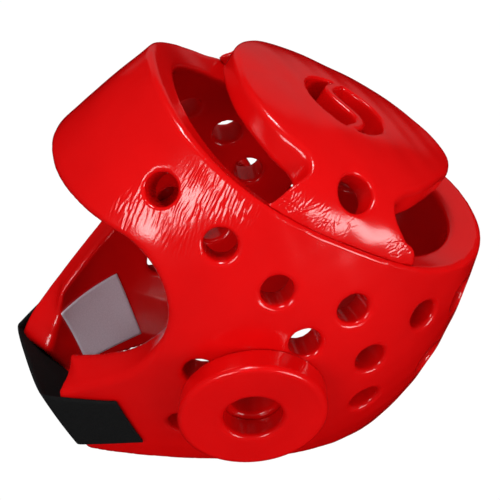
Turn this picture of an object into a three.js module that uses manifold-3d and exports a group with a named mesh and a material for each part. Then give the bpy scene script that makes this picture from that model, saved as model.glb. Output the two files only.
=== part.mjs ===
// Foam head guard: a dipped-foam shell with vents, a crown pad, two ear rings, a chin strap and a label.
// Millimetres. The pieces are drawn as worn, +X to the wearer's left, -Y to the front, +Z up, with the
// ear line at height 0, and the whole guard is then tipped back to stand on its flat lower rim.

import * as THREE from "three";
import { mergeVertices } from "three/addons/utils/BufferGeometryUtils.js";
import Module from "manifold-3d";

const wasm = await Module();
wasm.setup();

// Driving dimensions

const WALL = 20;
const FIT_GAP = 0.3;
const REACH = 260;

// Level sections through the outside of the shell, each an ellipse-like oval, with the wall's thickness
const SHELL_SECTIONS = [
  { height: -150, halfWidth: 48, front: 98, back: 86, power: 2.1, wall: 27 },
  { height: -110, halfWidth: 66, front: 107, back: 104, power: 2.1, wall: 22.5 },
  { height: -70, halfWidth: 85, front: 112, back: 118, power: 2.15, wall: WALL },
  { height: -30, halfWidth: 95, front: 126, back: 124.5, power: 2.2, wall: WALL },
  { height: 8, halfWidth: 98.5, front: 139, back: 124, power: 2.2, wall: WALL },
  { height: 45, halfWidth: 94, front: 129, back: 117.5, power: 2.25, wall: WALL },
  { height: 85, halfWidth: 84, front: 114, back: 105.5, power: 2.3, wall: WALL },
];
const OUTSIDE_MESH = { bearings: 48, step: 19 };
const INSIDE_MESH = { bearings: 44, step: 19 };

// The band's top rises from the crown pad's legs to the brow and to the back, and is cut square to the wall
const BAND_TOP = { leg: 73.5, rise: 13.5, reach: 112, power: 3, fall: 0.35 };

// Side outline of the face opening, from the brow's lower edge round the temple and down each cheek
const FACE_OPENING = [
  { left: -144, right: -144, height: 14 },
  { left: -116, right: -116, height: 19 },
  { left: -100, right: -100, height: 21.5 },
  { left: -83, right: -83, height: 15 },
  { left: -69, right: -69, height: -1 },
  { left: -62.5, right: -62.5, height: -22 },
  { left: -63.5, right: -63.5, height: -50 },
  { left: -72, right: -73.5, height: -77 },
  { left: -81, right: -85, height: -103 },
  { left: -85, right: -89, height: -115 },
  { left: -85.5, right: -89, height: -128 },
  { left: -80, right: -83, height: -146 },
];
const FACE_STEPS = 26;

// Jaw ends, each cut by a plane with a direction and a distance; the strap pulls the right jaw lower
const JAW_ENDS = [
  { side: 1, across: 0.587, along: 0.538, height: 0.603, distance: 77 },
  { side: -1, across: 0.578, along: 0.349, height: 0.737, distance: 99.5 },
];

// The plane that the guard stands on, tipped from the worn level
const REST_PITCH = THREE.MathUtils.degToRad(30.3);
const REST_HEIGHT = 92;
const REST_FORWARD = 4.11;

// Vents: bearing from the front in degrees and height, the same on both sides
const VENTS = [
  { bearing: 33, height: 52.5 },
  { bearing: 53.4, height: 46 },
  { bearing: 75.2, height: 37.5 },
  { bearing: 102, height: 43 },
  { bearing: 130, height: 48 },
  { bearing: 149, height: 55.5 },
  { bearing: 92.8, height: 15.5 },
  { bearing: 117.7, height: 17 },
  { bearing: 147.5, height: 14 },
  { bearing: 127.4, height: -13 },
  { bearing: 69.1, height: -27 },
  { bearing: 76, height: -69 },
];
const VENT = { bore: 9, lip: 2.5, sides: 12 };

// Crown pad: a dome over the band, cut to an oval plan with a waist above each flared leg
const CROWN = {
  base: 54, rise: 57, halfWidth: 86, front: 110, back: 150, middle: -5, power: 2.3, round: 2.8, fuller: 0.7,
};
const CROWN_WALL = 15;
const CROWN_PLAN = [
  { across: 0, front: -71, back: 70.5 },
  { across: 19, front: -69.5, back: 64.5 },
  { across: 31, front: -65.5, back: 55.5 },
  { across: 42, front: -59, back: 46.5 },
  { across: 52, front: -49.5, back: 36.5 },
  { across: 60, front: -37.5, back: 25.5 },
  { across: 67, front: -35, back: 19.5 },
  { across: 73, front: -41, back: 22 },
  { across: 77, front: -47, back: 30 },
  { across: 80, front: -55, back: 42 },
  { across: 100, front: -70, back: 54 },
];
const CROWN_MESH = { bearings: 48, rings: 7, planSteps: 2 };
const TOP_VENT = { along: -4, radius: 25.5, web: 5.5, wave: 23, sway: 7, sides: 32, steps: 10 };
const LEG_VENT = { across: 70.5, along: -6.5, height: 95.5, bore: 10.5, lean: 39 };

// Ear rings
const EAR_RING = { bearing: 90.5, height: -32, radius: 40.7, hole: 16, proud: 17.5, edge: 3.5, sides: 32 };
const EAR_LEAN = new THREE.Vector3(0, -0.286, 0.286);
const EAR_HOLE = 13;

// Chin strap: a flat band that runs down each cheek from its end and straight across the chin
const STRAP = { width: 38, thickness: 2.2, end: { along: -43.8, height: -88.3 }, slant: 51.7 };
const STRAP_RUN = { seat: 0.5, cheek: 47.25, lean: 6.25, skew: 1.75, chin: 2 };
const STRAP_TILT = { along: 0.155, height: 0.278, power: 4 };
const STRAP_MESH = { cheekSteps: 6, chinSteps: 6, widthSteps: 4 };

// Blank label on the inside of the right cheek, with the side view of its two edges
const LABEL = { along: -45, height: -101.5, thickness: 1, steps: 4 };
const LABEL_EDGES = { rear: { along: 31.5, height: -29 }, front: { along: -30.5, height: -21.5 } };

// Materials

const FOAM_RED = new THREE.MeshStandardMaterial({ color: 0xc80408, roughness: 0.32, metalness: 0 });
const STRAP_BLACK = new THREE.MeshStandardMaterial({ color: 0x141416, roughness: 0.85, metalness: 0 });
const LABEL_PALE = new THREE.MeshStandardMaterial({ color: 0xcfc6d2, roughness: 0.7, metalness: 0 });

// Solids and booleans

function toSolid(geometry) {
  const bare = geometry.index ? geometry.clone() : geometry;
  for (const name of Object.keys(bare.attributes)) {
    if (name !== "position") bare.deleteAttribute(name);
  }
  const merged = mergeVertices(bare, 1e-4);
  const mesh = new wasm.Mesh({
    numProp: 3,
    vertProperties: new Float32Array(merged.attributes.position.array),
    triVerts: new Uint32Array(merged.index.array),
  });
  mesh.merge();
  return new wasm.Manifold(mesh);
}

function toGeometry(solid) {
  const mesh = solid.getMesh();
  const geometry = new THREE.BufferGeometry();
  geometry.setAttribute("position", new THREE.BufferAttribute(new Float32Array(mesh.vertProperties), 3));
  geometry.setIndex(new THREE.BufferAttribute(new Uint32Array(mesh.triVerts), 1));
  geometry.computeVertexNormals();
  return geometry;
}

function toMesh(name, solid, material) {
  const mesh = new THREE.Mesh(toGeometry(solid), material);
  mesh.name = name;
  return mesh;
}

// Closed solid through rings of points, each ring listed counter-clockwise seen from the last ring's side
function loftSolid(rings) {
  const count = rings[0].length;
  const points = rings.flat();
  const middles = [rings[0], rings[rings.length - 1]].map((ring) =>
    ring.reduce((sum, point) => sum.add(point), new THREE.Vector3()).divideScalar(count)
  );
  const positions = points.concat(middles).flatMap((point) => point.toArray());
  const index = [];
  for (let row = 0; row + 1 < rings.length; row++) {
    for (let column = 0; column < count; column++) {
      const next = (column + 1) % count;
      const a = row * count + column;
      const b = row * count + next;
      index.push(a, b, b + count, a, b + count, a + count);
    }
  }
  const last = (rings.length - 1) * count;
  for (let column = 0; column < count; column++) {
    const next = (column + 1) % count;
    index.push(points.length, next, column);
    index.push(points.length + 1, last + column, last + next);
  }
  const geometry = new THREE.BufferGeometry();
  geometry.setAttribute("position", new THREE.Float32BufferAttribute(positions, 3));
  geometry.setIndex(index);
  return toSolid(geometry);
}

// Closed sheet between two faces of the same rows and columns of points
function slabSolid(top, bottom) {
  const rows = top.length;
  const columns = top[0].length;
  const positions = [...top.flat(), ...bottom.flat()].flatMap((point) => point.toArray());
  const under = rows * columns;
  const index = [];
  const quad = (a, b, c, d) => index.push(a, b, c, a, c, d);
  for (let row = 0; row + 1 < rows; row++) {
    for (let column = 0; column + 1 < columns; column++) {
      const a = row * columns + column;
      quad(a, a + 1, a + columns + 1, a + columns);
      quad(under + a, under + a + columns, under + a + columns + 1, under + a + 1);
    }
    const near = row * columns;
    const far = near + columns;
    const last = columns - 1;
    quad(near, far, under + far, under + near);
    quad(far + last, near + last, under + near + last, under + far + last);
  }
  for (let column = 0; column + 1 < columns; column++) {
    const end = (rows - 1) * columns + column;
    quad(column + 1, column, under + column, under + column + 1);
    quad(end, end + 1, under + end + 1, under + end);
  }
  const geometry = new THREE.BufferGeometry();
  geometry.setAttribute("position", new THREE.Float32BufferAttribute(positions, 3));
  geometry.setIndex(index);
  return toSolid(geometry);
}

// Prism of a side outline (along, height) from just past the middle of the guard out to one side
function sidePrism(shape, side) {
  const overlap = 1;
  const geometry = new THREE.ExtrudeGeometry(shape, { depth: REACH + overlap, bevelEnabled: false });
  const axes = new THREE.Matrix4().makeBasis(
    new THREE.Vector3(0, 1, 0), new THREE.Vector3(0, 0, 1), new THREE.Vector3(1, 0, 0)
  );
  geometry.applyMatrix4(axes.setPosition(side > 0 ? -overlap : -REACH, 0, 0));
  return toSolid(geometry);
}

// Turned cutter or ring on an axis that starts at a point and runs along a direction, with a sideways lean
function turnedSolid(profile, sides, point, direction, lean = new THREE.Vector3()) {
  const geometry = new THREE.LatheGeometry(profile, sides);
  const turn = new THREE.Quaternion().setFromUnitVectors(new THREE.Vector3(0, 1, 0), direction);
  geometry.applyQuaternion(turn);
  geometry.applyMatrix4(new THREE.Matrix4().makeBasis(
    new THREE.Vector3(1, 0, 0).addScaledVector(lean, direction.x),
    new THREE.Vector3(0, 1, 0).addScaledVector(lean, direction.y),
    new THREE.Vector3(0, 0, 1).addScaledVector(lean, direction.z)
  ));
  geometry.translate(point.x, point.y, point.z);
  return toSolid(geometry);
}

// Surface of the shell

// Smooth value of one section column at any height
function sectionValue(name, height) {
  const last = SHELL_SECTIONS.length - 1;
  const slope = (i) => {
    const below = SHELL_SECTIONS[Math.max(i - 1, 0)];
    const above = SHELL_SECTIONS[Math.min(i + 1, last)];
    return (above[name] - below[name]) / (above.height - below.height);
  };
  if (height <= SHELL_SECTIONS[0].height) {
    return SHELL_SECTIONS[0][name] + slope(0) * (height - SHELL_SECTIONS[0].height);
  }
  if (height >= SHELL_SECTIONS[last].height) {
    return SHELL_SECTIONS[last][name] + slope(last) * (height - SHELL_SECTIONS[last].height);
  }
  const upper = SHELL_SECTIONS.findIndex((row) => row.height > height);
  const low = SHELL_SECTIONS[upper - 1];
  const high = SHELL_SECTIONS[upper];
  const span = high.height - low.height;
  const t = (height - low.height) / span;
  const lowPart = (1 + 2 * t) * (1 - t) ** 2 * low[name] + t * (1 - t) ** 2 * span * slope(upper - 1);
  const highPart = t * t * (3 - 2 * t) * high[name] + t * t * (t - 1) * span * slope(upper);
  return lowPart + highPart;
}

// Point on the shell at a bearing from the front (radians), moved in by an inset
function shellPoint(bearing, height, inset = 0) {
  const across = Math.abs(Math.sin(bearing)) / (sectionValue("halfWidth", height) - inset);
  const end = Math.cos(bearing) > 0 ? "front" : "back";
  const along = Math.abs(Math.cos(bearing)) / (sectionValue(end, height) - inset);
  const power = sectionValue("power", height);
  const radius = (across ** power + along ** power) ** (-1 / power);
  return new THREE.Vector3(radius * Math.sin(bearing), -radius * Math.cos(bearing), height);
}

function shellNormal(bearing, height) {
  const step = 0.01;
  const round = shellPoint(bearing + step, height).sub(shellPoint(bearing - step, height));
  const rise = shellPoint(bearing, height + 1).sub(shellPoint(bearing, height - 1));
  return round.cross(rise).normalize();
}

// Half width of the shell at a place in the side view
function shellAcross(along, height, inset) {
  const power = sectionValue("power", height);
  const length = sectionValue(along < 0 ? "front" : "back", height) - inset;
  return (sectionValue("halfWidth", height) - inset) * (1 - (Math.abs(along) / length) ** power) ** (1 / power);
}

function fullTurn(steps) {
  return Array.from({ length: steps }, (_, step) => (2 * Math.PI * step) / steps);
}

function wallAt(height) {
  return sectionValue("wall", height);
}

function shellForm(insetAt, lowest, highest, mesh) {
  const rings = [];
  const steps = Math.ceil((highest - lowest) / mesh.step);
  for (let row = 0; row <= steps; row++) {
    const height = lowest + ((highest - lowest) * row) / steps;
    rings.push(fullTurn(mesh.bearings).map((bearing) => shellPoint(bearing, height, insetAt(height))));
  }
  return loftSolid(rings);
}

// Cutters

// Everything above the band's top face, raised by a gap
function aboveBand(gap) {
  const ringAt = (inset) => fullTurn(OUTSIDE_MESH.bearings).map((bearing) => {
    const edge = shellPoint(bearing, BAND_TOP.leg);
    const rise = BAND_TOP.rise * (Math.abs(edge.y) / BAND_TOP.reach) ** BAND_TOP.power;
    const point = shellPoint(bearing, BAND_TOP.leg, inset);
    point.z = BAND_TOP.leg + rise - BAND_TOP.fall * inset + gap;
    return point;
  });
  const outside = ringAt(-WALL);
  const top = outside.map((point) => new THREE.Vector3(point.x, point.y, REACH));
  return loftSolid([ringAt(2 * WALL), outside, top]);
}

function belowRim() {
  const slab = new THREE.BoxGeometry(2 * REACH, 2 * REACH, REACH);
  slab.translate(0, 0, -REACH / 2 - REST_HEIGHT);
  slab.rotateX(REST_PITCH);
  return toSolid(slab);
}

function faceCutter(side) {
  const along = side > 0 ? "left" : "right";
  const curve = new THREE.SplineCurve(FACE_OPENING.map((row) => new THREE.Vector2(row[along], row.height)));
  const edge = curve.getSpacedPoints(FACE_STEPS);
  const outside = [
    new THREE.Vector2(edge[FACE_STEPS].x, -REACH),
    new THREE.Vector2(-REACH, -REACH),
    new THREE.Vector2(-REACH, edge[0].y),
  ];
  return sidePrism(new THREE.Shape(edge.concat(outside)), side);
}

// Everything beyond the end of one jaw, on that side only
function jawCutter({ side, across, along, height, distance }) {
  const normal = new THREE.Vector3(side * across, along, height).normalize();
  const block = new THREE.BoxGeometry(2 * REACH, REACH, 2 * REACH);
  block.translate(0, -REACH / 2 - distance, 0);
  block.applyQuaternion(new THREE.Quaternion().setFromUnitVectors(new THREE.Vector3(0, 1, 0), normal));
  const half = new THREE.BoxGeometry(REACH, REACH, REACH);
  half.translate((side * REACH) / 2, -REACH / 2, -REACH / 2);
  return toSolid(block).intersect(toSolid(half));
}

function ventCutter(bearingDegrees, height, bore, lip) {
  const bearing = THREE.MathUtils.degToRad(bearingDegrees);
  const profile = [
    new THREE.Vector2(0, -2 * WALL),
    new THREE.Vector2(bore, -2 * WALL),
    new THREE.Vector2(bore, -lip),
    new THREE.Vector2(bore + 2 * lip, lip),
    new THREE.Vector2(0, 3 * lip),
  ];
  return turnedSolid(profile, VENT.sides, shellPoint(bearing, height), shellNormal(bearing, height));
}

// Pieces

const LOWEST = -160;
const HIGHEST = 100;
const outerForm = shellForm(() => 0, LOWEST, HIGHEST, OUTSIDE_MESH);
const nearForm = shellForm(() => -FIT_GAP, LOWEST, HIGHEST, OUTSIDE_MESH);

function headShell() {
  let shell = outerForm.subtract(shellForm(wallAt, LOWEST - WALL, HIGHEST + WALL, INSIDE_MESH));
  shell = shell.subtract(aboveBand(0)).subtract(belowRim());
  for (const jaw of JAW_ENDS) {
    shell = shell.subtract(faceCutter(jaw.side)).subtract(jawCutter(jaw));
  }
  for (const side of [1, -1]) {
    for (const vent of VENTS) {
      shell = shell.subtract(ventCutter(side * vent.bearing, vent.height, VENT.bore, VENT.lip));
    }
    shell = shell.subtract(ventCutter(side * EAR_RING.bearing, EAR_RING.height, EAR_HOLE, VENT.lip));
  }
  return toMesh("head_shell", shell, FOAM_RED);
}

// Dome of the crown pad, moved in by an inset, with a fuller right shoulder; its last ring stops half a
// step short of the top
function crownForm(inset) {
  const rings = [];
  for (let row = 0; row <= CROWN_MESH.rings; row++) {
    const slope = (Math.PI / 2) * (row / (CROWN_MESH.rings + 0.5));
    rings.push(fullTurn(CROWN_MESH.bearings).map((bearing) => {
      const round = CROWN.round + CROWN.fuller * Math.max(-Math.sin(bearing), 0);
      const level = Math.cos(slope) ** (2 / round);
      const height = CROWN.base + (CROWN.rise - inset) * Math.sin(slope) ** (2 / round);
      const end = Math.cos(bearing) > 0 ? CROWN.front : CROWN.back;
      const across = Math.abs(Math.sin(bearing)) / (CROWN.halfWidth - inset);
      const along = Math.abs(Math.cos(bearing)) / (end - inset);
      const radius = level * (across ** CROWN.power + along ** CROWN.power) ** (-1 / CROWN.power);
      return new THREE.Vector3(radius * Math.sin(bearing), CROWN.middle - radius * Math.cos(bearing), height);
    }));
  }
  return loftSolid(rings);
}

function crownPlan() {
  const left = CROWN_PLAN;
  const right = CROWN_PLAN.slice(1).reverse();
  const edge = (name) => {
    const points = right.map((row) => new THREE.Vector2(-row.across, row[name]));
    points.push(...left.map((row) => new THREE.Vector2(row.across, row[name])));
    return new THREE.SplineCurve(points).getPoints(CROWN_MESH.planSteps * (points.length - 1));
  };
  const shape = new THREE.Shape(edge("front").concat(edge("back").reverse()));
  return toSolid(new THREE.ExtrudeGeometry(shape, { depth: REACH, bevelEnabled: false }));
}

// Both comma-shaped holes of the top vent: a round hole with an S-shaped web left standing across it
function topVentCutter() {
  const { radius, web, wave, sway, sides, steps } = TOP_VENT;
  const middle = [];
  for (let step = -steps; step <= steps; step++) {
    const across = (step / steps) * (radius + web);
    const slope = ((sway * Math.PI) / wave) * Math.cos((Math.PI * across) / wave);
    const normal = new THREE.Vector2(-slope, 1).normalize();
    const point = new THREE.Vector2(across, sway * Math.sin((Math.PI * across) / wave));
    middle.push({ point, normal });
  }
  const edge = (side) => middle.map(({ point, normal }) => (
    point.clone().addScaledVector(normal, side * (web / 2))
  ));
  const shape = new THREE.Shape(edge(1).concat(edge(-1).reverse()));
  const strip = new THREE.ExtrudeGeometry(shape, { depth: REACH, bevelEnabled: false });
  const bore = new THREE.CylinderGeometry(radius, radius, REACH, sides);
  bore.rotateX(Math.PI / 2);
  bore.translate(0, 0, REACH / 2);
  for (const geometry of [strip, bore]) {
    geometry.translate(0, TOP_VENT.along, 0);
  }
  return toSolid(bore).subtract(toSolid(strip));
}

function legVentCutter(side) {
  const lean = THREE.MathUtils.degToRad(LEG_VENT.lean);
  const direction = new THREE.Vector3(side * Math.sin(lean), 0, Math.cos(lean));
  const middle = new THREE.Vector3(side * LEG_VENT.across, LEG_VENT.along, LEG_VENT.height);
  const depth = 3 * WALL;
  const profile = [
    new THREE.Vector2(0, -depth),
    new THREE.Vector2(LEG_VENT.bore, -depth),
    new THREE.Vector2(LEG_VENT.bore, depth),
    new THREE.Vector2(0, depth),
  ];
  return turnedSolid(profile, VENT.sides, middle, direction);
}

function crownPad() {
  let pad = crownForm(0).subtract(crownForm(CROWN_WALL)).intersect(crownPlan());
  pad = pad.intersect(aboveBand(FIT_GAP));
  pad = pad.subtract(topVentCutter());
  for (const side of [1, -1]) {
    pad = pad.subtract(legVentCutter(side));
  }
  return toMesh("crown_pad", pad, FOAM_RED);
}

function earRing(name, side) {
  const { radius, hole, proud, edge, sides, height } = EAR_RING;
  const bearing = side * THREE.MathUtils.degToRad(EAR_RING.bearing);
  const profile = [
    new THREE.Vector2(hole, -WALL),
    new THREE.Vector2(radius, -WALL),
    new THREE.Vector2(radius, proud - edge),
    new THREE.Vector2(radius - edge, proud),
    new THREE.Vector2(hole + edge, proud),
    new THREE.Vector2(hole, proud - edge),
    new THREE.Vector2(hole, -WALL),
  ];
  const normal = shellNormal(bearing, height);
  const ring = turnedSolid(profile, sides, shellPoint(bearing, height), normal, EAR_LEAN);
  return toMesh(name, ring.subtract(nearForm), FOAM_RED);
}

// Face of the strap at a height over the shell: rows run from the left end over the chin to the right end
function strapFace(offset) {
  const slant = THREE.MathUtils.degToRad(STRAP.slant);
  const { cheek, lean, skew, chin } = STRAP_RUN;
  const { cheekSteps, chinSteps, widthSteps } = STRAP_MESH;
  const placeAt = (run, over) => ({
    along: STRAP.end.along - run * Math.cos(slant) + over * Math.sin(slant),
    height: STRAP.end.height - run * Math.sin(slant) - over * Math.cos(slant),
  });
  const half = (hand) => Array.from({ length: cheekSteps + chinSteps + 1 }, (_, step) => {
    const turn = (Math.PI / 2) * Math.max(0, (step - cheekSteps) / chinSteps);
    const row = [];
    for (let column = 0; column <= widthSteps; column++) {
      const side = 2 * (column / widthSteps) - 1;
      const over = (side * STRAP.width) / 2;
      const reach = cheek - hand * lean * Math.cos(turn) - skew * side;
      const run = reach * Math.min(1, step / cheekSteps);
      const skin = placeAt(run, over);
      const place = placeAt(run + (chin + offset) * Math.sin(turn), over);
      const across = shellAcross(skin.along, skin.height, -offset) * Math.cos(turn);
      const tilt = (over + STRAP.width / 2) * Math.sin(turn) ** STRAP_TILT.power;
      row.push(new THREE.Vector3(
        hand * across, place.along + STRAP_TILT.along * tilt, place.height + STRAP_TILT.height * tilt
      ));
    }
    return row;
  });
  return half(1).slice(0, -1).concat(half(-1).reverse());
}

function chinStrap() {
  const strap = slabSolid(strapFace(STRAP_RUN.seat), strapFace(STRAP_RUN.seat + STRAP.thickness));
  return toMesh("chin_strap", strap, STRAP_BLACK);
}

function labelFace(gap) {
  const { rear, front } = LABEL_EDGES;
  const rows = [];
  for (let row = 0; row <= LABEL.steps; row++) {
    const points = [];
    for (let column = 0; column <= LABEL.steps; column++) {
      const u = row / LABEL.steps - 0.5;
      const v = column / LABEL.steps - 0.5;
      const along = LABEL.along + u * rear.along + v * front.along;
      const height = LABEL.height + u * rear.height + v * front.height;
      points.push(new THREE.Vector3(-shellAcross(along, height, wallAt(height) + gap), along, height));
    }
    rows.push(points);
  }
  return rows;
}

function labelPatch() {
  const slab = slabSolid(labelFace(FIT_GAP + LABEL.thickness), labelFace(-WALL / 2));
  const seatAt = (height) => wallAt(height) + FIT_GAP;
  const seat = shellForm(seatAt, LOWEST - WALL, HIGHEST + WALL, INSIDE_MESH);
  return toMesh("label_patch", slab.intersect(seat), LABEL_PALE);
}

const worn = new THREE.Group();
worn.add(headShell(), crownPad(), earRing("ear_ring_left", 1), earRing("ear_ring_right", -1));
worn.add(chinStrap(), labelPatch());
worn.rotation.x = -REST_PITCH;
worn.position.set(0, REST_FORWARD, REST_HEIGHT);

const guard = new THREE.Group();
guard.add(worn);

export default guard;
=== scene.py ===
import math

import bmesh
import bpy
import numpy as np
from mathutils import Matrix, Vector


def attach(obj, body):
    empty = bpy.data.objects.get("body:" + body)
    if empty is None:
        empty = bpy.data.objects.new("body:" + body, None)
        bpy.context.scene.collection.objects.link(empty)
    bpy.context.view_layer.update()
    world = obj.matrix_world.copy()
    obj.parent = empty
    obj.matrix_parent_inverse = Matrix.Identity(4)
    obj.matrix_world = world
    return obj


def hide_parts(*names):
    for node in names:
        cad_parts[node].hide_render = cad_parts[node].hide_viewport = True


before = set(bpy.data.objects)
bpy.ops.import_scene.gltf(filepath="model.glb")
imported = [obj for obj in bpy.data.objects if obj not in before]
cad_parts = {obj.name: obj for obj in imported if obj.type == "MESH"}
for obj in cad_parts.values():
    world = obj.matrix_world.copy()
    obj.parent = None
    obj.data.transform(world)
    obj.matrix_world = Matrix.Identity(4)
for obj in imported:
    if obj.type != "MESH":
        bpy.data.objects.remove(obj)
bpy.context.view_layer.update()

# Sizes in millimetres, in the worn frame: +X to the wearer's left, -Y to the front, +Z up, ear line at 0.
# to_rest() tips the worn frame back onto the flat lower rim and changes to metres.

REST_PITCH = math.radians(30.3)
REST_HEIGHT = 92.0
REST_FORWARD = 4.11
WALL = 20.0
FIT_GAP = 0.3

# Level sections through the outside of the shell: height, half width, front, back, power, wall
SECTIONS = np.array([
    [-150, 48, 98, 86, 2.1, 27],
    [-110, 66, 107, 104, 2.1, 22.5],
    [-70, 85, 112, 118, 2.15, WALL],
    [-30, 95, 126, 124.5, 2.2, WALL],
    [8, 98.5, 139, 124, 2.2, WALL],
    [45, 94, 129, 117.5, 2.25, WALL],
    [85, 84, 114, 105.5, 2.3, WALL],
])
BAND_TOP = {"leg": 73.5, "rise": 13.5, "reach": 112.0, "power": 3.0, "fall": 0.35}
# Side outline of the face opening: along on the left, along on the right, height
FACE_OPENING = [
    (-144, -144, 14), (-116, -116, 19), (-100, -100, 21.5), (-83, -83, 15), (-69, -69, -1),
    (-62.5, -62.5, -22), (-63.5, -63.5, -50), (-72, -73.5, -77), (-81, -85, -103),
    (-85, -89, -115), (-85.5, -89, -128), (-80, -83, -146),
]
# Planes of the jaw ends: side, direction (across, along, up) and distance
JAW_ENDS = [(1, (0.587, 0.538, 0.603), 77.0), (-1, (0.578, 0.349, 0.737), 107.5)]
# Vents on each side: bearing from the front in degrees, height
VENTS = [
    (33, 52.5), (53.4, 46), (75.2, 37.5), (102, 43), (130, 48), (149, 55.5),
    (92.8, 15.5), (117.7, 17), (147.5, 14), (127.4, -13), (69.1, -27), (76, -69),
]
VENT_BORE = 9.0
VENT_LIP = 2.2
VENT_REACH = 50
CROWN = {"base": 54.0, "rise": 57.0, "half": 86.0, "front": 110.0, "back": 150.0, "middle": -5.0,
         "power": 2.3, "round": 2.8, "fuller": 0.7, "wall": 15.0}
# Plan of the crown pad: across, front edge, back edge
CROWN_PLAN = [
    (0, -71, 70.5), (19, -69.5, 64.5), (31, -65.5, 55.5), (42, -59, 46.5), (52, -49.5, 36.5),
    (60, -37.5, 25.5), (67, -35, 19.5), (73, -41, 22), (77, -47, 30), (80, -55, 42), (100, -70, 54),
]
TOP_VENT = {"along": -4.0, "radius": 25.5, "web": 5.5, "wave": 23.0, "sway": 7.0}
LEG_VENT = {"across": 70.5, "along": -6.5, "height": 95.5, "bore": 10.5, "lean": math.radians(39)}
EAR_RING = {"bearing": math.radians(90.5), "height": -32.0, "radius": 40.7, "hole": 16.0, "proud": 17.5}
EAR_LEAN = np.array([0.0, -0.286, 0.286])
EAR_HOLE = 13.0
STRAP = {"width": 38.0, "thickness": 2.2, "along": -43.8, "height": -88.3, "slant": math.radians(51.7),
         "seat": 0.5, "cheek": 47.25, "lean": 6.25, "skew": 1.75, "chin": 2.0,
         "tilt": (0.155, 0.278), "tilt_power": 4, "margin": 0.5, "columns": 25, "edge": 0.3}
LABEL = {"along": -45.0, "height": -101.5, "rear": (31.5, -29.0), "front": (-30.5, -21.5), "thickness": 0.8}

EDGE_ROUND = 3.2
RIM_ROUND = (1.4, 3.0)
# How far the face opening's cut is turned square to the skin: height, share
SQUARE_CUT = [(-112, 0.7), (-100, 0.4), (-86, -0.3), (-60, -0.2), (-15, 1.0)]
# Extra wall inside the shell's right side near the rim: height, thickness
FAR_FOLD = [(-125, 3.0), (-105, 2.5), (-85, 0.0)]
SEAM_ROUND = 0.35
SEAM_GAP = 0.1
CROWN_ROUND = 3.0
CROWN_UNDER_ROUND = 3.5
RING_ROUND = 3.6
RING_SEAT_ROUND = 0.8
RING_REACH = 48
WEB_ROUND = 0.9
LUMP_HEIGHT = 0.25
# Where the legs stand on the band: middle, full and no share along it, least across
LEG_STAND = {"along": -4.0, "full": 40.0, "none": 56.0, "across": 50.0}

# Boxes that hold the fields of the shell and the crown pad, and the tables of their outlines
SHELL_BOX = ((-104, -144, -140), (104, 130, 96))
CROWN_BOX = ((-90, -80, 60), (90, 80, 116))
FACE_TABLE_BOX = ((-160, -160), (140, 110))
PLAN_TABLE_BOX = ((-100, -90), (100, 90))
FACE_STEPS = 8
PLAN_STEPS = 6
OUTLINE_END = -260

COARSE = 1.0
SHELL_STEP = 2.0 * COARSE
CROWN_STEP = 1.4 * COARSE
RING_STEP = 1.3 * COARSE
PROBE = 0.4
SETTLE_PROBE = 0.3
TINY = 1e-9
FAR_AWAY = 1e3
STRAP_CHEEK = 0.55
STRAP_DROP = 1.5
STRAP_ROWS = 90
STRAP_EASE = 24
LABEL_STEPS = 25

# Creased places: middle round the shell or along the leg, middle height, reach in each, strength
TEMPLE_CREASES = [
    (54, 38, 9, 13, 1.0), (72, 51, 11, 12, 1.0), (80, 66, 12, 8, 1.0),
    (65, 70, 7, 6, 0.7), (95, 64, 6, 8, 0.8), (77, 36, 9, 8, 0.6),
]
LEG_CREASES = [(-40, 81, 10, 7, 1.0), (-16, 80, 14, 6, 0.9), (29, 82, 8, 7, 0.8)]
TEMPLE_STROKES = {"seed": 11, "count": 230, "longest": 19, "slant": -0.26, "spread": 0.1}
LEG_STROKES = {"seed": 51, "count": 110, "longest": 9, "slant": 0.6, "spread": 0.5}
LEG_SIDE = 55
SKIN_DEPTH = 4.0
# Millimetres round the shell to a degree of bearing
ARC_STEP = 1.75
CREASE_DEPTH = 0.17
CREASE_WIDTH = 0.45
CREASE_SCATTER = 0.6
CREASE_HALF = (0.2, 0.5)
CREASE_STRENGTH = (0.35, 1.0)
CREASE_BEND = 0.06
CREASE_REACH = 5
CREASE_LIP = 0.4
CREASE_LIMITS = (-0.7, 1.3)
CREASE_EDGE = 0.1
CREASE_CUTS = 3


def to_rest(points):
    across, along, up = points[..., 0], points[..., 1], points[..., 2]
    cosine, sine = math.cos(REST_PITCH), math.sin(REST_PITCH)
    rest = np.stack([across, cosine * along + sine * up + REST_FORWARD,
                     cosine * up - sine * along + REST_HEIGHT], axis=-1)
    return rest / 1000.0


# Surfaces of the guard as distances in millimetres, negative in the foam

FINE = np.arange(-220.0, 160.0, 0.5)


def fine_column(column):
    """One column of the sections at every fine height, smooth between the rows and straight beyond them."""
    heights, values = SECTIONS[:, 0], SECTIONS[:, column]
    above = np.minimum(np.arange(len(heights)) + 1, len(heights) - 1)
    below = np.maximum(np.arange(len(heights)) - 1, 0)
    slopes = (values[above] - values[below]) / (heights[above] - heights[below])
    row = np.clip(np.searchsorted(heights, FINE, side="right") - 1, 0, len(heights) - 2)
    span = heights[row + 1] - heights[row]
    t = (FINE - heights[row]) / span
    low = (1 + 2 * t) * (1 - t) ** 2 * values[row] + t * (1 - t) ** 2 * span * slopes[row]
    high = t * t * (3 - 2 * t) * values[row + 1] + t * t * (t - 1) * span * slopes[row + 1]
    smooth = low + high
    smooth = np.where(FINE < heights[0], values[0] + slopes[0] * (FINE - heights[0]), smooth)
    return np.where(FINE > heights[-1], values[-1] + slopes[-1] * (FINE - heights[-1]), smooth)


HALF_WIDTH, FRONT, BACK, POWER, WALL_AT = [fine_column(column) for column in (1, 2, 3, 4, 5)]


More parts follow.
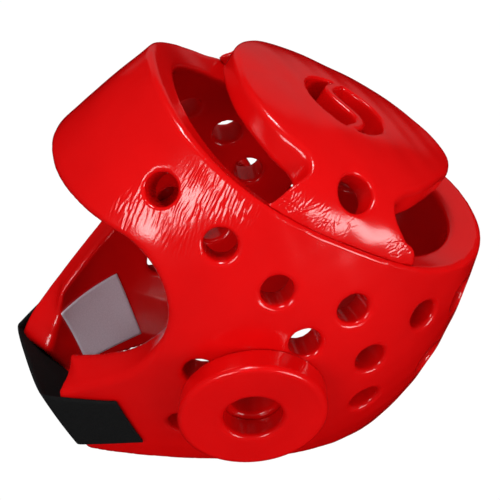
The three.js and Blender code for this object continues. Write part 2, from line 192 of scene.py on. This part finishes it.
def oval(points, inset):
    """Level of the shell's form moved in by an inset: 0 on the surface, negative inside."""
    across, along, up = np.abs(points[..., 0]), points[..., 1], points[..., 2]
    width = np.interp(up, FINE, HALF_WIDTH) - inset
    length = np.where(along < 0, np.interp(up, FINE, FRONT), np.interp(up, FINE, BACK)) - inset
    power = np.interp(up, FINE, POWER)
    return ((across / width) ** power + (np.abs(along) / length) ** power) ** (1 / power) - 1


def hollow(points, gap):
    """Level of the shell's inside, moved in by a gap."""
    height = points[..., 2]
    fold = np.interp(height, *zip(*FAR_FOLD)) * (points[..., 0] < 0)
    return oval(points, np.interp(height, FINE, WALL_AT) + fold + gap)


def dome(points, inset):
    """Level of the crown pad's dome moved in by an inset."""
    across = np.abs(points[..., 0]) / (CROWN["half"] - inset)
    along = points[..., 1] - CROWN["middle"]
    right = np.clip(-points[..., 0] / (np.hypot(points[..., 0], along) + TINY), 0, 1)
    round_power = CROWN["round"] + CROWN["fuller"] * right
    along = np.abs(along) / (np.where(along < 0, CROWN["front"], CROWN["back"]) - inset)
    plan = (across ** CROWN["power"] + along ** CROWN["power"]) ** (1 / CROWN["power"])
    up = np.maximum(points[..., 2] - CROWN["base"], 0) / (CROWN["rise"] - inset)
    return (plan ** round_power + up ** round_power) ** (1 / round_power) - 1


def slope_of(field, points, step=PROBE):
    parts = []
    for axis in range(3):
        shift = np.zeros(3)
        shift[axis] = step
        parts.append((field(points + shift) - field(points - shift)) / (2 * step))
    return np.stack(parts, axis=-1)


def distance(level, points, inset):
    """First-order distance to the surface where a level is 0."""
    slope = slope_of(lambda place: level(place, inset), points)
    return level(points, inset) / np.sqrt((slope ** 2).sum(-1) + 1e-12)


def shell_point(bearing, height, inset=0.0):
    width = np.interp(height, FINE, HALF_WIDTH) - inset
    front, back = np.interp(height, FINE, FRONT), np.interp(height, FINE, BACK)
    length = np.where(np.cos(bearing) > 0, front, back) - inset
    power = np.interp(height, FINE, POWER)
    radius = ((np.abs(np.sin(bearing)) / width) ** power
              + (np.abs(np.cos(bearing)) / length) ** power) ** (-1 / power)
    return np.stack([radius * np.sin(bearing), -radius * np.cos(bearing), height + 0 * bearing], axis=-1)


def shell_normal(bearing, height):
    turn = shell_point(bearing + 0.01, height) - shell_point(bearing - 0.01, height)
    rise = shell_point(bearing, height + 1) - shell_point(bearing, height - 1)
    normal = np.cross(turn, rise)
    return normal / np.linalg.norm(normal)


def round_and(rounding, *fields):
    """Intersection of solids whose shared edges are rounded off."""
    most = np.maximum.reduce(fields)
    corner = sum(np.maximum(field + rounding, 0) ** 2 for field in fields)
    return np.minimum(most, -rounding) + np.sqrt(corner)


def spline(points, steps):
    points = np.array(points, float)
    padded = np.vstack([points[:1], points, points[-1:]])
    run = []
    for a, b, c, d in zip(padded, padded[1:], padded[2:], padded[3:]):
        for t in np.arange(steps) / steps:
            bend = (2 * a - 5 * b + 4 * c - d) + t * (3 * b - a - 3 * c + d)
            run.append(b + 0.5 * t * ((c - a) + t * bend))
    return np.vstack([run, points[-1:]])


def outline_distance(outline, u, v):
    """Signed distance to a closed outline in a plane, negative inside it."""
    nearest = np.full(u.shape, 1e9)
    inside = np.zeros(u.shape, bool)
    for (au, av), (bu, bv) in zip(outline, np.roll(outline, -1, axis=0)):
        run_u, run_v = bu - au, bv - av
        along = ((u - au) * run_u + (v - av) * run_v) / (run_u ** 2 + run_v ** 2)
        along = np.clip(along, 0, 1)
        nearest = np.minimum(nearest, (u - au - along * run_u) ** 2 + (v - av - along * run_v) ** 2)
        if av != bv:
            inside ^= ((av > v) != (bv > v)) & (u < au + (v - av) * run_u / (bv - av))
    return np.where(inside, -1, 1) * np.sqrt(nearest)


def plane_table(outline, low, high, step=0.5):
    """The same distance looked up from a fine table."""
    u = np.arange(low[0], high[0], step)
    v = np.arange(low[1], high[1], step)
    table = outline_distance(outline, *np.meshgrid(u, v, indexing="ij"))

    def look(at_u, at_v):
        at_u = np.clip((at_u - low[0]) / step, 0, len(u) - 1.001)
        at_v = np.clip((at_v - low[1]) / step, 0, len(v) - 1.001)
        i, j = at_u.astype(int), at_v.astype(int)
        s, t = at_u - i, at_v - j
        near = (1 - t) * table[i, j] + t * table[i, j + 1]
        return (1 - s) * near + s * ((1 - t) * table[i + 1, j] + t * table[i + 1, j + 1])

    return look


BEARINGS = np.linspace(-math.pi, math.pi, 721)
BAND_OUT, BAND_EDGE, BAND_IN = [
    np.hypot(*shell_point(BEARINGS, BAND_TOP["leg"], inset)[:, :2].T) for inset in (-WALL, 0.0, 2 * WALL)
]


def band_top(points):
    """Height above the band's top face."""
    bearing = np.arctan2(points[..., 0], -points[..., 1])
    radius = np.hypot(points[..., 0], points[..., 1])
    outer = np.interp(bearing, BEARINGS, BAND_OUT)
    inner = np.interp(bearing, BEARINGS, BAND_IN)
    inset = -WALL + 3 * WALL * np.clip((outer - radius) / (outer - inner), 0, 1)
    edge = np.interp(bearing, BEARINGS, BAND_EDGE) * np.abs(np.cos(bearing))
    top = BAND_TOP["leg"] + BAND_TOP["rise"] * (edge / BAND_TOP["reach"]) ** BAND_TOP["power"]
    top -= BAND_TOP["fall"] * inset
    return (points[..., 2] - top) / math.hypot(1, BAND_TOP["fall"])


def face_outline(side):
    rows = [(left if side > 0 else right, height) for left, right, height in FACE_OPENING]
    ends = [(rows[-1][0], OUTLINE_END), (OUTLINE_END, OUTLINE_END), (OUTLINE_END, rows[0][1])]
    return np.vstack([spline(rows, FACE_STEPS), ends])


FACE_TABLES = [plane_table(face_outline(side), *FACE_TABLE_BOX) for side in (1, -1)]


def face_distance(across, along, height):
    return np.where(across > 0, FACE_TABLES[0](along, height), FACE_TABLES[1](along, height))


def jaw_distance(points):
    """Distance beyond the plane that ends the jaw on a point's own side."""
    beyond = []
    for side, direction, distance_back in JAW_ENDS:
        normal = np.array(direction) * (side, 1, 1) / np.linalg.norm(direction)
        here = -(points @ normal + distance_back)
        beyond.append(np.where(side * points[..., 0] > 0, here, -FAR_AWAY))
    return np.maximum(*beyond)


def bore(points, place, direction, radius):
    """Inside of a round bore as a positive number."""
    offset = points - place
    run = offset @ direction
    apart = np.sqrt(np.maximum((offset ** 2).sum(-1) - run ** 2, 0))
    return np.where(np.abs(run) < 2 * WALL, radius - apart, -FAR_AWAY)


def vent_axes():
    axes = []
    for side in (1, -1):
        for degrees, height in VENTS:
            bearing = side * math.radians(degrees)
            axes.append((shell_point(bearing, height), shell_normal(bearing, height), VENT_BORE))
        bearing, height = side * EAR_RING["bearing"], EAR_RING["height"]
        axes.append((shell_point(bearing, height), shell_normal(bearing, height), EAR_HOLE))
    return axes


VENT_AXES = vent_axes()


def lumps(points):
    """Slow unevenness of hand-dipped foam, from -1 to 1."""
    across, along, up = points[..., 0] / 1000, points[..., 1] / 1000, points[..., 2] / 1000
    first = np.sin(190 * along + 90 * up + 1.3) * np.sin(150 * up - 70 * across)
    return 0.6 * first + 0.4 * np.sin(310 * along - 120 * across + 2.1) * np.sin(260 * up + 0.7)


def leg_share(points):
    """1 where the crown pad's legs stand on the band, 0 elsewhere."""
    away = np.abs(points[..., 1] - LEG_STAND["along"])
    plan = np.interp(away, [LEG_STAND["full"], LEG_STAND["none"]], [1, 0])
    return plan * (np.abs(points[..., 0]) > LEG_STAND["across"])


def shell_field(points):
    slope = slope_of(lambda place: oval(place, 0.0), points)
    steep = np.sqrt((slope ** 2).sum(-1) + 1e-12)
    outside = oval(points, 0.0) / steep
    square = np.interp(points[..., 2], *zip(*SQUARE_CUT)) * np.clip(outside, -1.5 * WALL, WALL)
    skin = points - (square / steep)[..., None] * slope
    inside = -distance(hollow, points, 0.0)
    opening = np.maximum(-face_distance(*np.moveaxis(skin, -1, 0)), jaw_distance(points))
    rim = -1000 * to_rest(points)[..., 2]
    foam = round_and(EDGE_ROUND, outside - LUMP_HEIGHT * lumps(points), inside, opening)
    foam = round_and(np.interp(outside - inside, [-WALL / 2, WALL / 2], RIM_ROUND), foam, rim)
    top_round = EDGE_ROUND + (SEAM_ROUND - EDGE_ROUND) * leg_share(points)
    foam = round_and(top_round, foam, band_top(points))
    for place, direction, radius in VENT_AXES:
        near = (np.abs(points - place) < VENT_REACH).all(-1)
        if near.any():
            hole = bore(points[near], place, direction, radius)
            foam[near] = round_and(VENT_LIP, foam[near], hole)
    return foam


def crown_edge(column):
    left = [(row[0], row[column]) for row in CROWN_PLAN]
    right = [(-across, along) for across, along in left[:0:-1]]
    return spline(right + left, PLAN_STEPS)


def crown_outline():
    return np.vstack([crown_edge(1), crown_edge(2)[::-1]])


def top_vent(points):
    """Distance to the top vent's two holes, on either side of an S-shaped web."""
    across, along = points[..., 0], points[..., 1] - TOP_VENT["along"]
    turn = math.pi / TOP_VENT["wave"]
    steepness = np.sqrt(1 + (TOP_VENT["sway"] * turn * np.cos(turn * across)) ** 2)
    web = TOP_VENT["web"] / 2 - np.abs(along - TOP_VENT["sway"] * np.sin(turn * across)) / steepness
    return np.maximum(np.hypot(across, along) - TOP_VENT["radius"], web)


plan_distance = plane_table(crown_outline(), *PLAN_TABLE_BOX)


def crown_field(points):
    outside = distance(dome, points, 0.0) - LUMP_HEIGHT * lumps(points)
    inside = -distance(dome, points, CROWN["wall"])
    plan = plan_distance(points[..., 0], points[..., 1])
    foam = round_and(CROWN_ROUND, outside, plan)
    foam = round_and(CROWN_UNDER_ROUND, foam, inside)
    foam = round_and(WEB_ROUND, foam, -top_vent(points))
    for side in (1, -1):
        place = np.array([side * LEG_VENT["across"], LEG_VENT["along"], LEG_VENT["height"]])
        direction = np.array([side * math.sin(LEG_VENT["lean"]), 0, math.cos(LEG_VENT["lean"])])
        foam = round_and(VENT_LIP, foam, bore(points, place, direction, LEG_VENT["bore"]))
    return round_and(SEAM_ROUND, foam, SEAM_GAP - band_top(points))


def ring_field(side):
    bearing = side * EAR_RING["bearing"]
    place = shell_point(bearing, EAR_RING["height"])
    direction = shell_normal(bearing, EAR_RING["height"])

    def field(points):
        run = (points - place) @ direction
        offset = points - place - run[..., None] * EAR_LEAN
        apart = np.linalg.norm(offset - (offset @ direction)[..., None] * direction, axis=-1)
        outer, inner = apart - EAR_RING["radius"], EAR_RING["hole"] - apart
        foam = round_and(RING_ROUND, outer, inner, run - EAR_RING["proud"])
        return round_and(RING_SEAT_ROUND, foam, FIT_GAP - distance(oval, points, 0.0))

    return field, place


# Meshes from those distances

CORNERS = np.array([(i, j, k) for i in (0, 1) for j in (0, 1) for k in (0, 1)])


def grid_values(field, axes):
    planes = []
    for across in axes[0]:
        along, up = np.meshgrid(axes[1], axes[2], indexing="ij")
        planes.append(field(np.stack([np.full(along.shape, across), along, up], axis=-1)))
    return np.stack(planes)


def net_points(values, cells):
    """Mean crossing of each surface cell's edges, in grid steps."""
    total = np.zeros((len(cells), 3))
    count = np.zeros(len(cells))
    for axis in range(3):
        step = np.eye(3, dtype=int)[axis]
        for corner in CORNERS[CORNERS[:, axis] == 0]:
            start = cells + corner
            a = values[tuple(start.T)]
            b = values[tuple((start + step).T)]
            crosses = (a < 0) != (b < 0)
            share = np.where(crosses, a / np.where(crosses, a - b, 1), 0)
            total += crosses[:, None] * (start + share[:, None] * step)
            count += crosses
    return total / count[:, None]


def net_faces(values, number):
    faces = []
    inside = values < 0
    for axis in range(3):
        u, v = (axis + 1) % 3, (axis + 2) % 3
        ahead = np.moveaxis(inside, axis, 0)
        change = np.moveaxis(ahead[1:] != ahead[:-1], 0, axis)
        at = np.argwhere(change)
        at = at[(at[:, u] > 0) & (at[:, v] > 0)]
        at = at[(at[:, u] < number.shape[u]) & (at[:, v] < number.shape[v])]
        step_u, step_v = np.eye(3, dtype=int)[u], np.eye(3, dtype=int)[v]
        ring = [at - step_u - step_v, at - step_v, at, at - step_u]
        quad = np.stack([number[tuple(cell.T)] for cell in ring], axis=-1)
        flip = ~inside[tuple(at.T)]
        quad[flip] = quad[flip][:, ::-1]
        faces.append(quad)
    return np.vstack(faces)


def settle(field, points, step, rounds=3):
    """Moves points onto the surface where the field is 0."""
    for _ in range(rounds):
        slope = slope_of(field, points, SETTLE_PROBE)
        move = field(points) / ((slope ** 2).sum(-1) + 1e-6)
        points = points - np.clip(move, -step, step)[:, None] * slope
    return points


def even_out(points, faces, rounds=1):
    for _ in range(rounds):
        total = np.zeros_like(points)
        count = np.zeros(len(points))
        for a, b in ((0, 1), (1, 2), (2, 3), (3, 0)):
            for start, end in ((a, b), (b, a)):
                np.add.at(total, faces[:, start], points[faces[:, end]])
                np.add.at(count, faces[:, start], 1)
        points = 0.5 * points + 0.5 * total / count[:, None]
    return points


def foam_net(field, low, high, step):
    """Points and quads of a foam surface."""
    counts = np.ceil((np.array(high) - low) / step).astype(int) + 1
    axes = [low[k] + step * np.arange(counts[k]) for k in range(3)]
    values = grid_values(field, axes)
    inside = (values < 0).astype(int)
    a, b, c = (np.array(values.shape) - 1)
    total = sum(inside[i:i + a, j:j + b, k:k + c] for i, j, k in CORNERS)
    cells = np.argwhere((total > 0) & (total < 8))
    number = np.full((a, b, c), -1)
    number[tuple(cells.T)] = np.arange(len(cells))
    points = np.array(low) + step * net_points(values, cells)
    faces = net_faces(values, number)
    points = settle(field, points, step)
    points = settle(field, even_out(points, faces, 2), step, 2)
    return points, faces


def add_mesh(name, points, faces, material):
    mesh = bpy.data.meshes.new(name)
    mesh.from_pydata(points.tolist(), [], [list(face) for face in faces])
    mesh.materials.append(material)
    mesh.shade_smooth()
    piece = bpy.data.objects.new(name, mesh)
    bpy.context.collection.objects.link(piece)
    return piece


def add_weave(piece, weave):
    layer = piece.data.attributes.new("weave", "FLOAT_VECTOR", "POINT")
    layer.data.foreach_set("vector", weave.ravel())


# Creases in the foam's skin

def strokes(u, v, rows, seed, count, longest, slant, spread):
    """Depth of thin straight creases scattered over soft patches, with a raised lip beside each."""
    random = np.random.default_rng(seed)
    depth = np.zeros(u.shape)
    for number in range(count):
        middle_u, middle_v, reach_u, reach_v, strength = rows[number % len(rows)]
        from_u = u - middle_u - CREASE_SCATTER * reach_u * random.normal()
        from_v = v - middle_v - CREASE_SCATTER * reach_v * random.normal()
        angle = slant + spread * random.normal()
        half = longest * random.uniform(*CREASE_HALF)
        deep = strength * random.uniform(*CREASE_STRENGTH)
        along = (math.sin(angle) * from_u + math.cos(angle) * from_v) / half
        bend = CREASE_BEND * half * random.normal()
        aside = math.cos(angle) * from_u - math.sin(angle) * from_v + bend * along ** 2
        near = (np.abs(along) < 1) & (np.abs(aside) < CREASE_REACH * CREASE_WIDTH)
        offset = aside[near] / CREASE_WIDTH
        ridge = np.exp(-offset ** 2) - CREASE_LIP * np.exp(-(np.abs(offset) - 2) ** 2)
        depth[near] += deep * (1 - along[near] ** 2) * ridge
    return np.clip(depth, *CREASE_LIMITS)


def patches(u, v, rows):
    """Sum of soft oval patches: middle u, middle v, reach u, reach v, strength."""
    total = np.zeros(u.shape)
    for middle_u, middle_v, reach_u, reach_v, strength in rows:
        total += strength * np.exp(-((u - middle_u) / reach_u) ** 2 - ((v - middle_v) / reach_v) ** 2)
    return np.clip(total, 0, 1)


def shell_creases(points):
    """How far the left temple is creased, and how deep the crease is in millimetres."""
    bearing = np.degrees(np.arctan2(points[..., 0], -points[..., 1]))
    arc, height = ARC_STEP * bearing, points[..., 2]
    share = patches(arc, height, TEMPLE_CREASES) * (oval(points, SKIN_DEPTH) > 0)
    depth = strokes(arc, height, TEMPLE_CREASES, **TEMPLE_STROKES)
    return share, CREASE_DEPTH * np.minimum(1, 2 * share) * depth


def crown_creases(points):
    """The same for the crown pad's left leg."""
    along, height = points[..., 1], points[..., 2]
    share = patches(along, height, LEG_CREASES) * (points[..., 0] > LEG_SIDE)
    share = share * (dome(points, SKIN_DEPTH) > 0)
    depth = strokes(along, height, LEG_CREASES, **LEG_STROKES)
    return share, CREASE_DEPTH * np.minimum(1, 2 * share) * depth


def creased(field, creases, points, faces):
    """Net with its creased places cut finer and pressed in."""
    mesh = bpy.data.meshes.new("net")
    mesh.from_pydata(points.tolist(), [], faces.tolist())
    net = bmesh.new()
    net.from_mesh(mesh)
    net.verts.ensure_lookup_table()
    share, _ = creases(points)
    edges = [edge for edge in net.edges if min(share[end.index] for end in edge.verts) > CREASE_EDGE]
    bmesh.ops.subdivide_edges(net, edges=edges, cuts=CREASE_CUTS, use_grid_fill=True)
    net.verts.index_update()
    points = np.array([vertex.co[:] for vertex in net.verts])
    faces = [[vertex.index for vertex in face.verts] for face in net.faces]
    net.free()
    bpy.data.meshes.remove(mesh)
    share, _ = creases(points)
    chosen = share > CREASE_EDGE
    near = settle(field, points[chosen], SHELL_STEP, 2)
    _, depth = creases(near)
    slope = slope_of(field, near, SETTLE_PROBE)
    points[chosen] = near - depth[:, None] * slope / (np.linalg.norm(slope, axis=-1, keepdims=True) + TINY)
    return points, faces


# Strap and label

def half_across(along, height, inset):
    """Half width of the shell at a place in the side view."""
    power = np.interp(height, FINE, POWER)
    length = np.where(along < 0, np.interp(height, FINE, FRONT), np.interp(height, FINE, BACK)) - inset
    width = np.interp(height, FINE, HALF_WIDTH) - inset
    return width * (1 - (np.abs(along) / length) ** power) ** (1 / power)


def strap_points(hand, share, over, offset):
    """Places on the strap: share runs from 0 at its end on one side to 1 at the middle of the chin."""
    turn = math.pi / 2 * np.clip((share - STRAP_CHEEK) / (1 - STRAP_CHEEK), 0, 1)
    reach = STRAP["cheek"] - hand * STRAP["lean"] * np.cos(turn) - 2 * STRAP["skew"] * over / STRAP["width"]
    run = reach * np.minimum(1, share / STRAP_CHEEK)
    bulge = (STRAP["chin"] + offset) * np.sin(turn)
    cosine, sine = math.cos(STRAP["slant"]), math.sin(STRAP["slant"])
    along = STRAP["along"] - run * cosine + over * sine
    height = STRAP["height"] - run * sine - over * cosine
    height = height - (hand < 0) * STRAP_DROP * np.clip((1 - share) / (1 - STRAP_CHEEK), 0, 1)
    across = hand * half_across(along, height, -offset) * np.cos(turn)
    tilt = (over + STRAP["width"] / 2) * np.sin(turn) ** STRAP["tilt_power"]
    along = along - bulge * cosine + STRAP["tilt"][0] * tilt
    height = height - bulge * sine + STRAP["tilt"][1] * tilt
    return np.stack([across, along, height], axis=-1)


def strap_rows(over, offset):
    """Rows of points from the left end over the chin to the right end, with the bends eased."""
    share = np.linspace(0, 1, STRAP_ROWS)[:, None]
    left = strap_points(1, share, over, offset)
    right = strap_points(-1, share, over, offset)
    rows = np.concatenate([left[:-1], right[::-1]])
    for _ in range(STRAP_EASE):
        rows[1:-1] = (rows[:-2] + 2 * rows[1:-1] + rows[2:]) / 4
    return rows


def band_mesh(top, under):
    """Closed band between two faces of the same rows and columns."""
    rows, columns = top.shape[:2]
    loop = np.concatenate([top, under[:, ::-1]], axis=1)
    count = 2 * columns
    points = loop.reshape(-1, 3)
    at = np.arange(rows * count).reshape(rows, count)
    ahead = np.roll(at, -1, axis=1)
    sides = np.stack([at[:-1], ahead[:-1], ahead[1:], at[1:]], axis=-1).reshape(-1, 4)
    ends = []
    for row, flip in ((0, False), (rows - 1, True)):
        for column in range(columns - 1):
            below = count - 1 - column
            quad = [at[row, column], at[row, below], at[row, below - 1], at[row, column + 1]]
            ends.append(quad[::-1] if flip else quad)
    return points, np.vstack([sides, ends])


def strap_band():
    half = STRAP["width"] / 2
    inner = half - STRAP["margin"]
    over = np.concatenate([[-half], np.linspace(-inner, inner, STRAP["columns"]), [half]])
    low = np.full(len(over), STRAP["seat"])
    high = low + STRAP["thickness"]
    low[[0, -1]] += STRAP["edge"] * STRAP["thickness"]
    high[[0, -1]] -= STRAP["edge"] * STRAP["thickness"]
    top = strap_rows(over, high)
    under = strap_rows(over, low)
    points, faces = band_mesh(top, under)
    middle = top[:, len(over) // 2]
    length = np.concatenate([[0], np.cumsum(np.linalg.norm(np.diff(middle, axis=0), axis=1))])
    weave = np.zeros((len(top), 2 * len(over), 3))
    weave[..., 0] = length[:, None]
    weave[..., 1] = np.concatenate([over, over[::-1]])
    return points, faces, weave.reshape(-1, 3), length[-1]


def label_face(gap):
    steps = np.linspace(-0.5, 0.5, LABEL_STEPS)
    u, v = np.meshgrid(steps, steps, indexing="ij")
    along = LABEL["along"] + u * LABEL["rear"][0] + v * LABEL["front"][0]
    height = LABEL["height"] + u * LABEL["rear"][1] + v * LABEL["front"][1]
    inset = np.interp(height, FINE, WALL_AT) + np.interp(height, *zip(*FAR_FOLD)) + gap
    return np.stack([-half_across(along, height, inset), along, height], axis=-1)


def label_sheet():
    top = label_face(FIT_GAP + LABEL["thickness"])
    points, faces = band_mesh(top, label_face(FIT_GAP))
    size = [np.linalg.norm(top[-1, 0] - top[0, 0]), np.linalg.norm(top[0, -1] - top[0, 0])]
    weave = np.zeros((LABEL_STEPS, 2 * LABEL_STEPS, 3))
    weave[..., 0] = np.linspace(0, size[0], LABEL_STEPS)[:, None]
    across = np.linspace(0, size[1], LABEL_STEPS)
    weave[..., 1] = np.concatenate([across, across[::-1]])
    return points, faces, weave.reshape(-1, 3), size


# Materials

def new_material(name):
    material = bpy.data.materials.new(name)
    material.use_nodes = True
    nodes = material.node_tree.nodes
    return material, nodes, material.node_tree.links, nodes["Principled BSDF"]


def vinyl_material():
    material, nodes, links, shader = new_material("red_vinyl")
    place = nodes.new("ShaderNodeTexCoord")
    tone = nodes.new("ShaderNodeTexNoise")
    tone.inputs["Scale"].default_value = 18
    tone.inputs["Detail"].default_value = 4
    links.new(place.outputs["Object"], tone.inputs["Vector"])
    colour = nodes.new("ShaderNodeValToRGB")
    colour.color_ramp.elements[0].position = 0.3
    colour.color_ramp.elements[0].color = (0.56, 0.0012, 0.0016, 1)
    colour.color_ramp.elements[1].position = 0.7
    colour.color_ramp.elements[1].color = (0.64, 0.0018, 0.0022, 1)
    links.new(tone.outputs["Fac"], colour.inputs["Fac"])
    links.new(colour.outputs["Color"], shader.inputs["Base Color"])
    shader.inputs["Roughness"].default_value = 0.16
    shader.inputs["Specular IOR Level"].default_value = 0.5
    grain = nodes.new("ShaderNodeTexNoise")
    grain.inputs["Scale"].default_value = 900
    grain.inputs["Detail"].default_value = 3
    links.new(place.outputs["Object"], grain.inputs["Vector"])
    bump = nodes.new("ShaderNodeBump")
    bump.inputs["Strength"].default_value = 0.06
    bump.inputs["Distance"].default_value = 0.001
    links.new(grain.outputs["Fac"], bump.inputs["Height"])
    links.new(bump.outputs["Normal"], shader.inputs["Normal"])
    return material


def cloth_material(name, dark, pale, roughness, pitch, depth):
    """Woven cloth whose threads follow the piece's own length and width."""
    material, nodes, links, shader = new_material(name)
    place = nodes.new("ShaderNodeAttribute")
    place.attribute_name = "weave"
    threads = []
    for direction in ("X", "Y"):
        wave = nodes.new("ShaderNodeTexWave")
        wave.bands_direction = direction
        wave.inputs["Scale"].default_value = math.pi / (10 * pitch)
        wave.inputs["Distortion"].default_value = 1.2
        wave.inputs["Detail"].default_value = 2
        links.new(place.outputs["Vector"], wave.inputs["Vector"])
        threads.append(wave)
    cross = nodes.new("ShaderNodeMath")
    cross.operation = "MAXIMUM"
    links.new(threads[0].outputs["Fac"], cross.inputs[0])
    links.new(threads[1].outputs["Fac"], cross.inputs[1])
    fuzz = nodes.new("ShaderNodeTexNoise")
    fuzz.inputs["Scale"].default_value = 0.9
    fuzz.inputs["Detail"].default_value = 6
    links.new(place.outputs["Vector"], fuzz.inputs["Vector"])
    height = nodes.new("ShaderNodeMath")
    height.operation = "ADD"
    links.new(cross.outputs["Value"], height.inputs[0])
    links.new(fuzz.outputs["Fac"], height.inputs[1])
    colour = nodes.new("ShaderNodeValToRGB")
    colour.color_ramp.elements[0].position = 0.35
    colour.color_ramp.elements[0].color = (*dark, 1)
    colour.color_ramp.elements[1].position = 0.7
    colour.color_ramp.elements[1].color = (*pale, 1)
    links.new(fuzz.outputs["Fac"], colour.inputs["Fac"])
    links.new(colour.outputs["Color"], shader.inputs["Base Color"])
    shader.inputs["Roughness"].default_value = roughness
    shader.inputs["Specular IOR Level"].default_value = 0.15
    bump = nodes.new("ShaderNodeBump")
    bump.inputs["Strength"].default_value = depth
    bump.inputs["Distance"].default_value = 0.0004
    links.new(height.outputs["Value"], bump.inputs["Height"])
    links.new(bump.outputs["Normal"], shader.inputs["Normal"])
    return material


RED_VINYL = vinyl_material()
BLACK_TAPE = cloth_material("black_tape", (0.0045, 0.0046, 0.005), (0.009, 0.0092, 0.0095), 0.9, 1.0, 0.6)
PALE_CLOTH = cloth_material("pale_label", (0.60, 0.54, 0.62), (0.68, 0.62, 0.70), 0.7, 0.5, 0.35)

shell_points, shell_faces = foam_net(shell_field, *SHELL_BOX, SHELL_STEP)
shell_points, shell_faces = creased(shell_field, shell_creases, shell_points, shell_faces)
shell = add_mesh("foam_shell", to_rest(shell_points), shell_faces, RED_VINYL)
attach(shell, "root")
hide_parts("head_shell")

crown_points, crown_faces = foam_net(crown_field, *CROWN_BOX, CROWN_STEP)
crown_points, crown_faces = creased(crown_field, crown_creases, crown_points, crown_faces)
crown = add_mesh("foam_crown", to_rest(crown_points), crown_faces, RED_VINYL)
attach(crown, "root")
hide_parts("crown_pad")

for side, word in ((1, "left"), (-1, "right")):
    field, place = ring_field(side)
    ring_points, ring_faces = foam_net(field, place - RING_REACH, place + RING_REACH, RING_STEP)
    ring = add_mesh("foam_ring_" + word, to_rest(ring_points), ring_faces, RED_VINYL)
    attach(ring, "root")
    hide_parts("ear_ring_" + word)

strap_net, strap_faces, strap_weave, strap_length = strap_band()
strap = add_mesh("woven_strap", to_rest(strap_net), strap_faces, BLACK_TAPE)
add_weave(strap, strap_weave)
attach(strap, "root")
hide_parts("chin_strap")

label_net, label_faces, label_weave, label_size = label_sheet()
label = add_mesh("blank_label", to_rest(label_net), label_faces, PALE_CLOTH)
add_weave(label, label_weave)
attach(label, "root")
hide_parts("label_patch")

# Floor, light and camera, in metres

FLOOR_HALF = 6
BOUNCE_DROP = 0.001
# Lights: name, place, target, size, power
LIGHTS = [
    ("overhead", (0.15, -0.1, 1.7), (0, 0, 0.1), (0.36, 0.36), 11),
    ("front_box", (1.4, -1.02, 0.9), (0, 0, 0.1), (0.85, 0.34), 12),
    ("side_box", (1.5, 1.05, 0.3), (0, 0, 0.1), (0.8, 0.55), 14),
    ("far_box", (-1.6, 0.3, 0.7), (0, 0, 0.15), (2, 1.2), 1.1),
]
PHOTO_SIDE = 500
FOCAL_PIXELS = 1367.5
CAMERA_PLACE = (0.6463, -0.1118 + REST_FORWARD / 1000, 0.5673)
CAMERA_RIGHT = (0.168, 0.986, 0.001)
CAMERA_BACK = (0.801, -0.137, 0.583)

floor_mesh = bpy.data.meshes.new("floor")
floor_corners = [(FLOOR_HALF * x, FLOOR_HALF * y, 0) for x, y in ((-1, -1), (1, -1), (1, 1), (-1, 1))]
floor_mesh.from_pydata(floor_corners, [], [(0, 1, 2, 3)])
floor = bpy.data.objects.new("floor", floor_mesh)
bpy.context.collection.objects.link(floor)
floor_material, _, _, floor_shader = new_material("floor_pale")
floor_shader.inputs["Base Color"].default_value = (0, 0, 0, 1)
floor_shader.inputs["Specular IOR Level"].default_value = 0
floor_shader.inputs["Emission Color"].default_value = (1, 1, 1, 1)
floor_shader.inputs["Emission Strength"].default_value = 1.02
floor_mesh.materials.append(floor_material)
floor.visible_diffuse = False
floor.visible_glossy = False
floor.visible_shadow = False

bounce = bpy.data.objects.new("bounce", floor_mesh.copy())
bpy.context.collection.objects.link(bounce)
bounce_material, _, _, bounce_shader = new_material("bounce_grey")
bounce_shader.inputs["Base Color"].default_value = (0.45, 0.45, 0.45, 1)
bounce_shader.inputs["Roughness"].default_value = 1
bounce.data.materials.clear()
bounce.data.materials.append(bounce_material)
bounce.location.z = -BOUNCE_DROP
bounce.visible_camera = False
bounce.visible_glossy = False


def area_light(name, place, target, size, power):
    light = bpy.data.lights.new(name, "AREA")
    light.shape = "RECTANGLE"
    light.size, light.size_y = size
    light.energy = power
    lamp = bpy.data.objects.new(name, light)
    lamp.location = place
    lamp.visible_camera = False
    lamp.rotation_euler = (Vector(target) - Vector(place)).to_track_quat("-Z", "Y").to_euler()
    bpy.context.collection.objects.link(lamp)


for light_row in LIGHTS:
    area_light(*light_row)

world = bpy.data.worlds.new("studio")
world.use_nodes = True
world.node_tree.nodes["Background"].inputs["Color"].default_value = (1, 1, 1, 1)
world.node_tree.nodes["Background"].inputs["Strength"].default_value = 0.58
world.cycles_visibility.glossy = False
bpy.context.scene.world = world

camera_data = bpy.data.cameras.new("camera")
camera_data.sensor_width = 36
camera_data.lens = FOCAL_PIXELS * camera_data.sensor_width / PHOTO_SIDE
camera = bpy.data.objects.new("camera", camera_data)
camera_right = Vector(CAMERA_RIGHT).normalized()
camera_back = Vector(CAMERA_BACK).normalized()
camera_up = camera_back.cross(camera_right).normalized()
camera_right = camera_up.cross(camera_back)
turn = Matrix((camera_right, camera_up, camera_back)).transposed().to_4x4()
camera.matrix_world = Matrix.Translation(CAMERA_PLACE) @ turn
bpy.context.collection.objects.link(camera)
bpy.context.scene.camera = camera
bpy.context.scene.view_settings.view_transform = "Standard"
